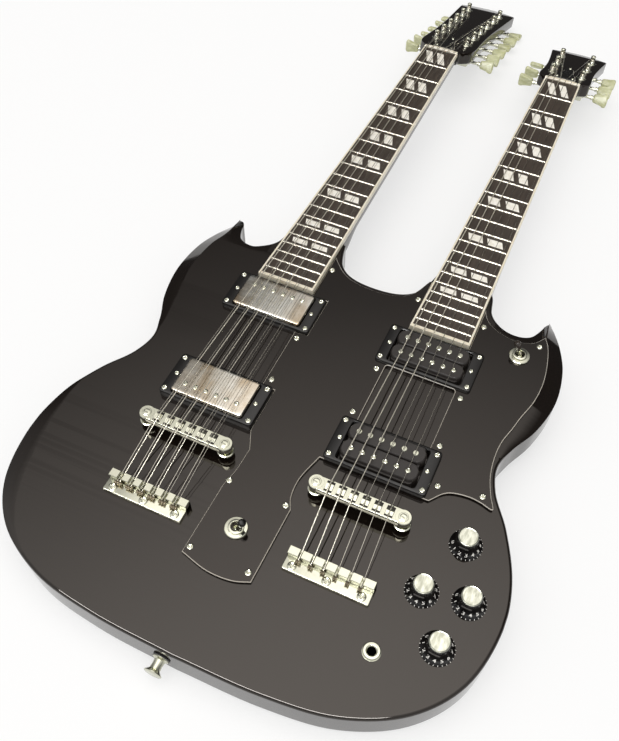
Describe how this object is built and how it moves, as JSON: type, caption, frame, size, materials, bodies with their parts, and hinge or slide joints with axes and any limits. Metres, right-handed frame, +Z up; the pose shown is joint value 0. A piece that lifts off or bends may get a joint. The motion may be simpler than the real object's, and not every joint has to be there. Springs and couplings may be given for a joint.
{
  "type": "double-neck electric guitar",
  "caption": "Solid-body electric guitar with a long-headed neck and a short-headed neck side by side on one double-cutaway body, lying face up.",
  "frame": {"origin": "on the floor, under the middle of the part's bounding box, with the guitar lying on its back", "axes": "+X from the twelve-string side to the six-string side, +Y towards the headstocks, +Z up from the floor. The body is leaned 3.3 degrees about X, because the longer headstock's tuners touch the floor."},
  "size_m": [0.4186, 1.0486, 0.0797],
  "materials": {
    "lacquered_wood": "gloss black lacquer",
    "rosewood": "oiled",
    "string_steel": "bright wound and plain strings",
    "black_plastic": "gloss black",
    "pickup_cover": "aged nickel",
    "button_plastic": "pale green, slightly pearly",
    "zinc_steel": "plated",
    "nickel": "nickel plate"
  },
  "bodies": {
    "guitar": {"body": "lacquered_wood", "control_cover": "black_plastic", "pot_plate": "zinc_steel", "pickguard": "black_plastic", "neck_12": "lacquered_wood", "fretboard_12": "rosewood", "nut_and_strings_12": "string_steel", "tuner_housings_12_bass": "nickel", "tuner_housings_12_treble": "nickel", "neck_6": "lacquered_wood", "fretboard_6": "rosewood", "nut_and_strings_6": "string_steel", "tuner_housings_6_bass": "nickel", "tuner_housings_6_treble": "nickel", "pickup_ring_12_neck": "black_plastic", "pickup_ring_12_bridge": "black_plastic", "pickup_ring_6_neck": "black_plastic", "pickup_ring_6_bridge": "black_plastic", "pickup_12_neck": "pickup_cover", "pickup_12_bridge": "pickup_cover", "pickup_6_neck": "black_plastic", "pickup_6_bridge": "black_plastic", "bridge_12": "nickel", "bridge_6": "nickel", "tailpiece_12": "nickel", "tailpiece_6": "nickel", "lower_toggle_switch": "nickel", "upper_toggle_switch": "nickel", "output_jack": "nickel", "strap_button": "nickel"},
    "tuner_button_12_bass_1_part": {"tuner_button_12_bass_1": "button_plastic"},
    "tuner_button_12_bass_2_part": {"tuner_button_12_bass_2": "button_plastic"},
    "tuner_button_12_bass_3_part": {"tuner_button_12_bass_3": "button_plastic"},
    "tuner_button_12_bass_4_part": {"tuner_button_12_bass_4": "button_plastic"},
    "tuner_button_12_bass_5_part": {"tuner_button_12_bass_5": "button_plastic"},
    "tuner_button_12_bass_6_part": {"tuner_button_12_bass_6": "button_plastic"},
    "tuner_button_12_treble_1_part": {"tuner_button_12_treble_1": "button_plastic"},
    "tuner_button_12_treble_2_part": {"tuner_button_12_treble_2": "button_plastic"},
    "tuner_button_12_treble_3_part": {"tuner_button_12_treble_3": "button_plastic"},
    "tuner_button_12_treble_4_part": {"tuner_button_12_treble_4": "button_plastic"},
    "tuner_button_12_treble_5_part": {"tuner_button_12_treble_5": "button_plastic"},
    "tuner_button_12_treble_6_part": {"tuner_button_12_treble_6": "button_plastic"},
    "tuner_button_6_bass_1_part": {"tuner_button_6_bass_1": "button_plastic"},
    "tuning_post_6_bass_1_part": {"tuning_post_6_bass_1": "nickel"},
    "tuner_button_6_bass_2_part": {"tuner_button_6_bass_2": "button_plastic"},
    "tuning_post_6_bass_2_part": {"tuning_post_6_bass_2": "nickel"},
    "tuner_button_6_bass_3_part": {"tuner_button_6_bass_3": "button_plastic"},
    "tuning_post_6_bass_3_part": {"tuning_post_6_bass_3": "nickel"},
    "tuner_button_6_treble_1_part": {"tuner_button_6_treble_1": "button_plastic"},
    "tuning_post_6_treble_1_part": {"tuning_post_6_treble_1": "nickel"},
    "tuner_button_6_treble_2_part": {"tuner_button_6_treble_2": "button_plastic"},
    "tuning_post_6_treble_2_part": {"tuning_post_6_treble_2": "nickel"},
    "tuner_button_6_treble_3_part": {"tuner_button_6_treble_3": "button_plastic"},
    "tuning_post_6_treble_3_part": {"tuning_post_6_treble_3": "nickel"},
    "control_knob_1_part": {"control_knob_1": "black_plastic"},
    "control_knob_2_part": {"control_knob_2": "black_plastic"},
    "control_knob_3_part": {"control_knob_3": "black_plastic"},
    "control_knob_4_part": {"control_knob_4": "black_plastic"},
    "lower_toggle_lever_part": {"lower_toggle_lever": "nickel"},
    "upper_toggle_lever_part": {"upper_toggle_lever": "nickel"}
  },
  "joints": [
    {"name": "tuner_button_12_bass_1_turn", "type": "hinge", "parent": "guitar", "child": "tuner_button_12_bass_1_part", "pos_m": [-0.12975, 0.3279, 0.04394], "axis": [1, 0, 0], "continuous": true},
    {"name": "tuner_button_12_bass_2_turn", "type": "hinge", "parent": "guitar", "child": "tuner_button_12_bass_2_part", "pos_m": [-0.12975, 0.36075, 0.03627], "axis": [1, 0, 0], "continuous": true},
    {"name": "tuner_button_12_bass_3_turn", "type": "hinge", "parent": "guitar", "child": "tuner_button_12_bass_3_part", "pos_m": [-0.12975, 0.3936, 0.0286], "axis": [1, 0, 0], "continuous": true},
    {"name": "tuner_button_12_bass_4_turn", "type": "hinge", "parent": "guitar", "child": "tuner_button_12_bass_4_part", "pos_m": [-0.12975, 0.42644, 0.02094], "axis": [1, 0, 0], "continuous": true},
    {"name": "tuner_button_12_bass_5_turn", "type": "hinge", "parent": "guitar", "child": "tuner_button_12_bass_5_part", "pos_m": [-0.12975, 0.45929, 0.01327], "axis": [1, 0, 0], "continuous": true},
    {"name": "tuner_button_12_bass_6_turn", "type": "hinge", "parent": "guitar", "child": "tuner_button_12_bass_6_part", "pos_m": [-0.12975, 0.49214, 0.00561], "axis": [1, 0, 0], "continuous": true},
    {"name": "tuner_button_12_treble_1_turn", "type": "hinge", "parent": "guitar", "child": "tuner_button_12_treble_1_part", "pos_m": [-0.02975, 0.3279, 0.04394], "axis": [1, 0, 0], "continuous": true},
    {"name": "tuner_button_12_treble_2_turn", "type": "hinge", "parent": "guitar", "child": "tuner_button_12_treble_2_part", "pos_m": [-0.02975, 0.36075, 0.03627], "axis": [1, 0, 0], "continuous": true},
    {"name": "tuner_button_12_treble_3_turn", "type": "hinge", "parent": "guitar", "child": "tuner_button_12_treble_3_part", "pos_m": [-0.02975, 0.3936, 0.0286], "axis": [1, 0, 0], "continuous": true},
    {"name": "tuner_button_12_treble_4_turn", "type": "hinge", "parent": "guitar", "child": "tuner_button_12_treble_4_part", "pos_m": [-0.02975, 0.42644, 0.02094], "axis": [1, 0, 0], "continuous": true},
    {"name": "tuner_button_12_treble_5_turn", "type": "hinge", "parent": "guitar", "child": "tuner_button_12_treble_5_part", "pos_m": [-0.02975, 0.45929, 0.01327], "axis": [1, 0, 0], "continuous": true},
    {"name": "tuner_button_12_treble_6_turn", "type": "hinge", "parent": "guitar", "child": "tuner_button_12_treble_6_part", "pos_m": [-0.02975, 0.49214, 0.00561], "axis": [1, 0, 0], "continuous": true},
    {"name": "tuner_button_6_bass_1_turn", "type": "hinge", "parent": "guitar", "child": "tuner_button_6_bass_1_part", "pos_m": [0.02575, 0.31271, 0.04748], "axis": [1, 0, 0], "continuous": true},
    {"name": "tuning_post_6_bass_1_turn", "type": "hinge", "parent": "guitar", "child": "tuning_post_6_bass_1_part", "pos_m": [0.05725, 0.30994, 0.0642], "axis": [0, 0.2273, 0.9738], "continuous": true},
    {"name": "tuner_button_6_bass_2_turn", "type": "hinge", "parent": "guitar", "child": "tuner_button_6_bass_2_part", "pos_m": [0.02575, 0.34825, 0.03918], "axis": [1, 0, 0], "continuous": true},
    {"name": "tuning_post_6_bass_2_turn", "type": "hinge", "parent": "guitar", "child": "tuning_post_6_bass_2_part", "pos_m": [0.0566, 0.34548, 0.0559], "axis": [0, 0.2273, 0.9738], "continuous": true},
    {"name": "tuner_button_6_bass_3_turn", "type": "hinge", "parent": "guitar", "child": "tuner_button_6_bass_3_part", "pos_m": [0.02575, 0.3838, 0.03089], "axis": [1, 0, 0], "continuous": true},
    {"name": "tuning_post_6_bass_3_turn", "type": "hinge", "parent": "guitar", "child": "tuning_post_6_bass_3_part", "pos_m": [0.05595, 0.38103, 0.04761], "axis": [0, 0.2273, 0.9738], "continuous": true},
    {"name": "tuner_button_6_treble_1_turn", "type": "hinge", "parent": "guitar", "child": "tuner_button_6_treble_1_part", "pos_m": [0.12575, 0.31271, 0.04748], "axis": [1, 0, 0], "continuous": true},
    {"name": "tuning_post_6_treble_1_turn", "type": "hinge", "parent": "guitar", "child": "tuning_post_6_treble_1_part", "pos_m": [0.09425, 0.30994, 0.0642], "axis": [0, 0.2273, 0.9738], "continuous": true},
    {"name": "tuner_button_6_treble_2_turn", "type": "hinge", "parent": "guitar", "child": "tuner_button_6_treble_2_part", "pos_m": [0.12575, 0.34825, 0.03918], "axis": [1, 0, 0], "continuous": true},
    {"name": "tuning_post_6_treble_2_turn", "type": "hinge", "parent": "guitar", "child": "tuning_post_6_treble_2_part", "pos_m": [0.0949, 0.34548, 0.0559], "axis": [0, 0.2273, 0.9738], "continuous": true},
    {"name": "tuner_button_6_treble_3_turn", "type": "hinge", "parent": "guitar", "child": "tuner_button_6_treble_3_part", "pos_m": [0.12575, 0.3838, 0.03089], "axis": [1, 0, 0], "continuous": true},
    {"name": "tuning_post_6_treble_3_turn", "type": "hinge", "parent": "guitar", "child": "tuning_post_6_treble_3_part", "pos_m": [0.09555, 0.38103, 0.04761], "axis": [0, 0.2273, 0.9738], "continuous": true},
    {"name": "control_knob_1_turn", "type": "hinge", "parent": "guitar", "child": "control_knob_1_part", "pos_m": [0.163, -0.34365, 0.0435], "axis": [0, -0.0575, 0.9983], "range_deg": [-150, 150]},
    {"name": "control_knob_2_turn", "type": "hinge", "parent": "guitar", "child": "control_knob_2_part", "pos_m": [0.145, -0.39257, 0.04068], "axis": [0, -0.0575, 0.9983], "range_deg": [-150, 150]},
    {"name": "control_knob_3_turn", "type": "hinge", "parent": "guitar", "child": "control_knob_3_part", "pos_m": [0.18, -0.38658, 0.04103], "axis": [0, -0.0575, 0.9983], "range_deg": [-150, 150]},
    {"name": "control_knob_4_turn", "type": "hinge", "parent": "guitar", "child": "control_knob_4_part", "pos_m": [0.17, -0.42751, 0.03867], "axis": [0, -0.0575, 0.9983], "range_deg": [-150, 150]},
    {"name": "lower_toggle_lever_turn", "type": "hinge", "parent": "guitar", "child": "lower_toggle_lever_part", "pos_m": [-0.0032, -0.40655, 0.03988], "axis": [-0.1392, 0.9886, 0.0569], "range_deg": [-40, 0]},
    {"name": "upper_toggle_lever_turn", "type": "hinge", "parent": "guitar", "child": "upper_toggle_lever_part", "pos_m": [0.1482, -0.15107, 0.05459], "axis": [-0.454, -0.8895, -0.0512], "range_deg": [-40, 0]}
  ],
  "couplings": [
    {"joint": "tuning_post_6_bass_1_turn", "follows": "tuner_button_6_bass_1_turn", "ratio": 0.066667},
    {"joint": "tuning_post_6_bass_2_turn", "follows": "tuner_button_6_bass_2_turn", "ratio": 0.066667},
    {"joint": "tuning_post_6_bass_3_turn", "follows": "tuner_button_6_bass_3_turn", "ratio": 0.066667},
    {"joint": "tuning_post_6_treble_1_turn", "follows": "tuner_button_6_treble_1_turn", "ratio": -0.066667},
    {"joint": "tuning_post_6_treble_2_turn", "follows": "tuner_button_6_treble_2_turn", "ratio": -0.066667},
    {"joint": "tuning_post_6_treble_3_turn", "follows": "tuner_button_6_treble_3_turn", "ratio": -0.066667}
  ]
}
